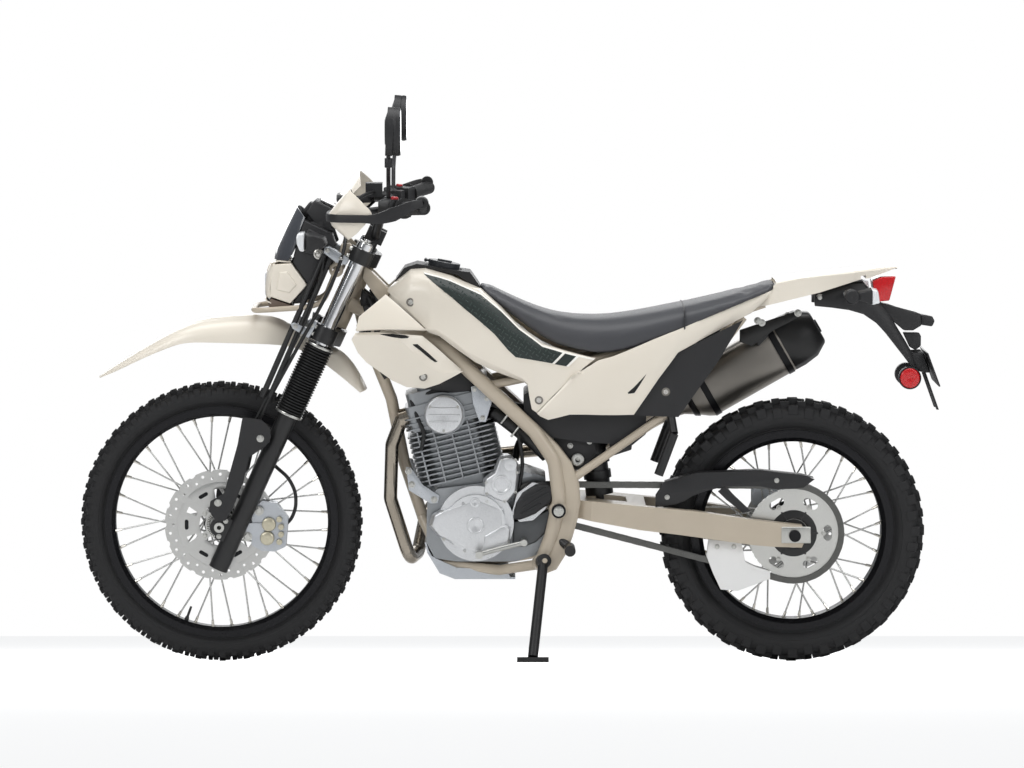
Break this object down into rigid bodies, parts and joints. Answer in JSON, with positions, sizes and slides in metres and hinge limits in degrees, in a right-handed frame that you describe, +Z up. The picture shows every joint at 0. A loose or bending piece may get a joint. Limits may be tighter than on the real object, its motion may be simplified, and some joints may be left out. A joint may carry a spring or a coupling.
{
  "type": "dual sport motorcycle",
  "caption": "Dual sport motorcycle parked on its side stand, with wire wheels, knobbly tyres, high fender, hand guards and one seat.",
  "frame": {"origin": "on the floor at the middle of the footprint of the parked machine", "axes": "+X to the rear, +Y to the rider's right, +Z up; the machine leans 9 degrees to its left on the stand"},
  "size_m": [2.0231, 0.8745, 1.3868],
  "materials": {
    "frame_paint": "satin",
    "black_metal": "satin",
    "engine_alloy": "satin cast",
    "steel": "satin",
    "chrome": "polished",
    "muffler_steel": "brushed",
    "sand_plastic": "gloss",
    "black_plastic": "textured",
    "lamp_plastic": "clear over red",
    "screen_glass": "smoked clear",
    "tyre": "matte",
    "rubber": "matte",
    "seat_cover": "grained vinyl over foam",
    "spoke_steel": "satin",
    "brake_steel": "ground"
  },
  "bodies": {
    "chassis": {"frame_main": "frame_paint", "subframe": "frame_paint", "swingarm": "frame_paint", "rear_axle": "black_metal", "rear_shock": "black_metal", "chain": "steel", "chain_guards": "black_plastic", "rear_caliper": "engine_alloy", "engine_crankcase": "engine_alloy", "engine_covers": "engine_alloy", "engine_cylinder": "engine_alloy", "airbox": "black_plastic", "exhaust_header": "black_metal", "muffler": "muffler_steel", "skid_plate": "black_plastic", "fuel_tank": "sand_plastic", "tank_cover": "black_plastic", "shrouds": "sand_plastic", "seat": "seat_cover", "side_covers": "sand_plastic", "rear_panels": "black_plastic", "rear_fender": "sand_plastic", "plate_holder": "black_plastic", "tail_lamp": "lamp_plastic", "rear_indicators": "black_plastic", "footpegs": "black_metal", "foot_levers": "black_metal"},
    "steering": {"fork_lowers": "black_metal", "front_axle": "steel", "fork_gaiters": "rubber", "fork_tubes": "chrome", "triple_clamps": "black_metal", "handlebar": "black_metal", "grips": "rubber", "controls": "black_plastic", "mirrors": "black_plastic", "hand_guards": "black_plastic", "headlight_cowl": "sand_plastic", "headlamp": "black_plastic", "screen": "screen_glass", "instrument": "black_plastic", "cowl_bracket": "frame_paint", "front_indicators": "black_plastic", "front_fender": "sand_plastic", "fork_guards": "black_plastic", "front_caliper": "engine_alloy", "front_hoses": "rubber"},
    "front_wheel": {"front_tyre": "tyre", "front_rim": "black_metal", "front_spokes": "spoke_steel", "front_hub": "black_metal", "front_disc": "brake_steel"},
    "rear_wheel": {"rear_tyre": "tyre", "rear_rim": "black_metal", "rear_spokes": "spoke_steel", "rear_hub": "black_metal", "rear_disc": "brake_steel", "rear_sprocket": "steel"},
    "side_stand": {"side_stand": "black_metal"},
    "fuel_cap": {"fuel_cap": "steel"}
  },
  "joints": [
    {"name": "steering", "type": "hinge", "parent": "chassis", "child": "steering", "pos_m": [-0.36681, 0.0322, 0.87006], "axis": [0.4163, -0.1422, 0.898], "range_deg": [-40, 40]},
    {"name": "front_wheel_spin", "type": "hinge", "parent": "steering", "child": "front_wheel", "pos_m": [-0.674, 0.11687, 0.33547], "axis": [0, 0.9877, 0.1564], "continuous": true},
    {"name": "rear_wheel_spin", "type": "hinge", "parent": "chassis", "child": "rear_wheel", "pos_m": [0.691, 0.11988, 0.31646], "axis": [0, 0.9877, 0.1564], "continuous": true},
    {"name": "side_stand_fold", "type": "hinge", "parent": "chassis", "child": "side_stand", "pos_m": [0.0945, -0.00531, 0.2375], "axis": [0.2273, -0.9708, 0.0763], "range_deg": [0, 92]},
    {"name": "fuel_cap_lid", "type": "hinge", "parent": "chassis", "child": "fuel_cap", "pos_m": [-0.18502, 0.0186, 0.9559], "axis": [0, -0.9877, -0.1564], "range_deg": [0, 100]}
  ]
}
